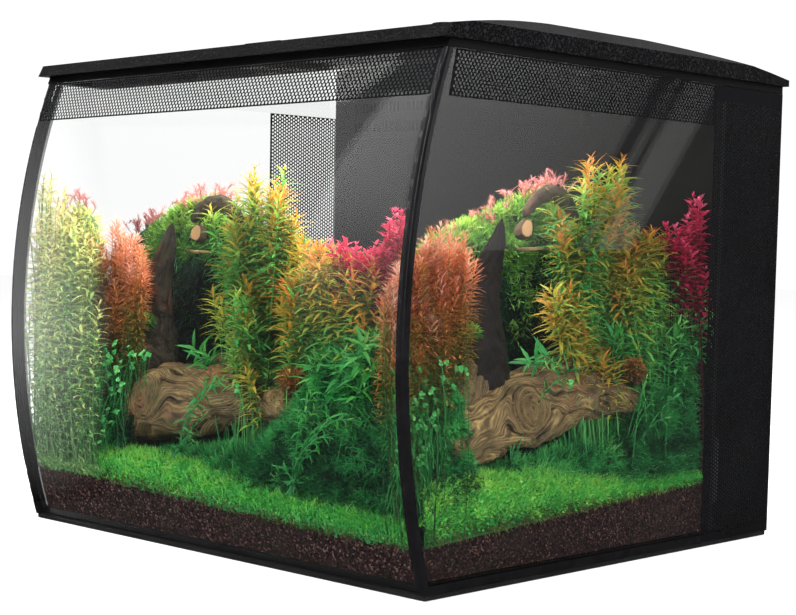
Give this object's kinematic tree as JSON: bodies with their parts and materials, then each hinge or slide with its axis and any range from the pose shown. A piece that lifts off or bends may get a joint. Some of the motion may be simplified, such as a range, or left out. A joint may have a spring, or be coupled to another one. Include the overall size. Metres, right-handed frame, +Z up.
{
  "type": "freshwater aquarium",
  "caption": "Glass aquarium with a bowed front pane, rear filter compartment, planted scape and a domed lift-off lid with lamp and feeding hatch.",
  "frame": {"origin": "centre of the flat rectangular base, on the surface the tank stands on", "axes": "+Z up, bowed front pane towards -Y, +X to the right seen from the front"},
  "size_m": [0.4076, 0.3882, 0.3439],
  "materials": {
    "mat_foam": "matt closed-cell foam",
    "clear_glass": "clear float glass",
    "black_silicone": "satin silicone",
    "black_plastic": "satin moulded plastic",
    "lid_plastic": "fine-grained textured plastic",
    "black_rubber": "matt rubber",
    "print_film": "black printed film",
    "gloss_black": "gloss dark sheet",
    "filter_foam": "open-cell foam",
    "ring_media": "mesh bag of ceramic rings",
    "carbon_media": "mesh bag of carbon",
    "ceramic": "polished ceramic",
    "impeller_plastic": "moulded white plastic",
    "hose_vinyl": "flexible tube",
    "steel": "stainless",
    "clear_acrylic": "clear lens",
    "circuit_board": "white solder mask",
    "led_white": "phosphor",
    "gravel": "dark granules",
    "driftwood": "weathered wood",
    "foliage": "soft leaves",
    "foliage_red": "soft red leaves"
  },
  "bodies": {
    "tank": {"base_mat": "mat_foam", "bottom_glass": "clear_glass", "bottom_seal": "black_silicone", "front_glass": "clear_glass", "left_side_glass": "clear_glass", "right_side_glass": "clear_glass", "rear_glass": "clear_glass", "front_seam_left": "black_silicone", "front_seam_right": "black_silicone", "inner_bead_left": "black_silicone", "inner_bead_right": "black_silicone", "rear_seams": "black_silicone", "top_rim_frame": "black_plastic", "cable_grommet": "black_rubber", "front_band_film": "print_film", "right_side_film": "print_film", "left_side_film": "print_film", "rear_film": "print_film", "partition": "gloss_black", "overflow_grille": "black_plastic", "intake_grille": "black_plastic", "baffle_left": "gloss_black", "baffle_right": "gloss_black", "foam_block": "filter_foam", "foam_handle": "black_plastic", "media_shelf": "black_plastic", "ring_media_bag": "ring_media", "carbon_bag": "carbon_media", "pump_motor": "black_plastic", "volute_housing": "black_plastic", "pump_cover": "black_plastic", "impeller_shaft": "ceramic", "pump_feet": "black_rubber", "outlet_hose": "hose_vinyl", "outlet_manifold": "black_plastic", "outlet_nuts": "black_plastic", "substrate": "gravel", "driftwood_front": "driftwood", "driftwood_side": "driftwood", "plants_left_front": "foliage", "moss_mound_front": "foliage", "plants_centre_front": "foliage", "plants_crimson_front": "foliage_red", "plants_orange_side": "foliage_red", "moss_mound_side": "foliage", "plants_centre_side": "foliage", "plants_crimson_side": "foliage_red"},
    "lid": {"lid_shell": "lid_plastic", "flap_hinge_pin": "steel", "lamp_housing": "black_plastic", "lamp_lens": "clear_acrylic", "led_board": "circuit_board", "led_chips": "led_white", "lamp_screws": "steel", "light_switch": "black_plastic"},
    "feeding_flap": {"feeding_flap": "lid_plastic"},
    "light_button": {"light_button": "lid_plastic"},
    "impeller": {"impeller": "impeller_plastic"},
    "nozzle_left": {"outlet_nozzle_left": "black_plastic"},
    "nozzle_right": {"outlet_nozzle_right": "black_plastic"}
  },
  "joints": [
    {"name": "lid_lift", "type": "slide", "parent": "tank", "child": "lid", "axis": [0, 0, 1], "range_m": [0, 0.15]},
    {"name": "hatch_hinge", "type": "hinge", "parent": "lid", "child": "feeding_flap", "pos_m": [0, -0.072, 0.3396], "axis": [-1, 0, 0], "range_deg": [0, 100]},
    {"name": "button_press", "type": "slide", "parent": "lid", "child": "light_button", "axis": [0, 0, -1], "range_m": [0, 0.0015], "stiffness_N_per_m": 300, "springref_m": -0.0008},
    {"name": "impeller_spin", "type": "hinge", "parent": "tank", "child": "impeller", "pos_m": [0.105, 0.148, 0.045], "axis": [1, 0, 0], "continuous": true},
    {"name": "nozzle_left_swivel", "type": "hinge", "parent": "tank", "child": "nozzle_left", "pos_m": [0.085, 0.101, 0.3105], "axis": [0, 1, 0], "range_deg": [-90, 90]},
    {"name": "nozzle_right_swivel", "type": "hinge", "parent": "tank", "child": "nozzle_right", "pos_m": [0.125, 0.101, 0.3105], "axis": [0, 1, 0], "range_deg": [-90, 90]}
  ]
}
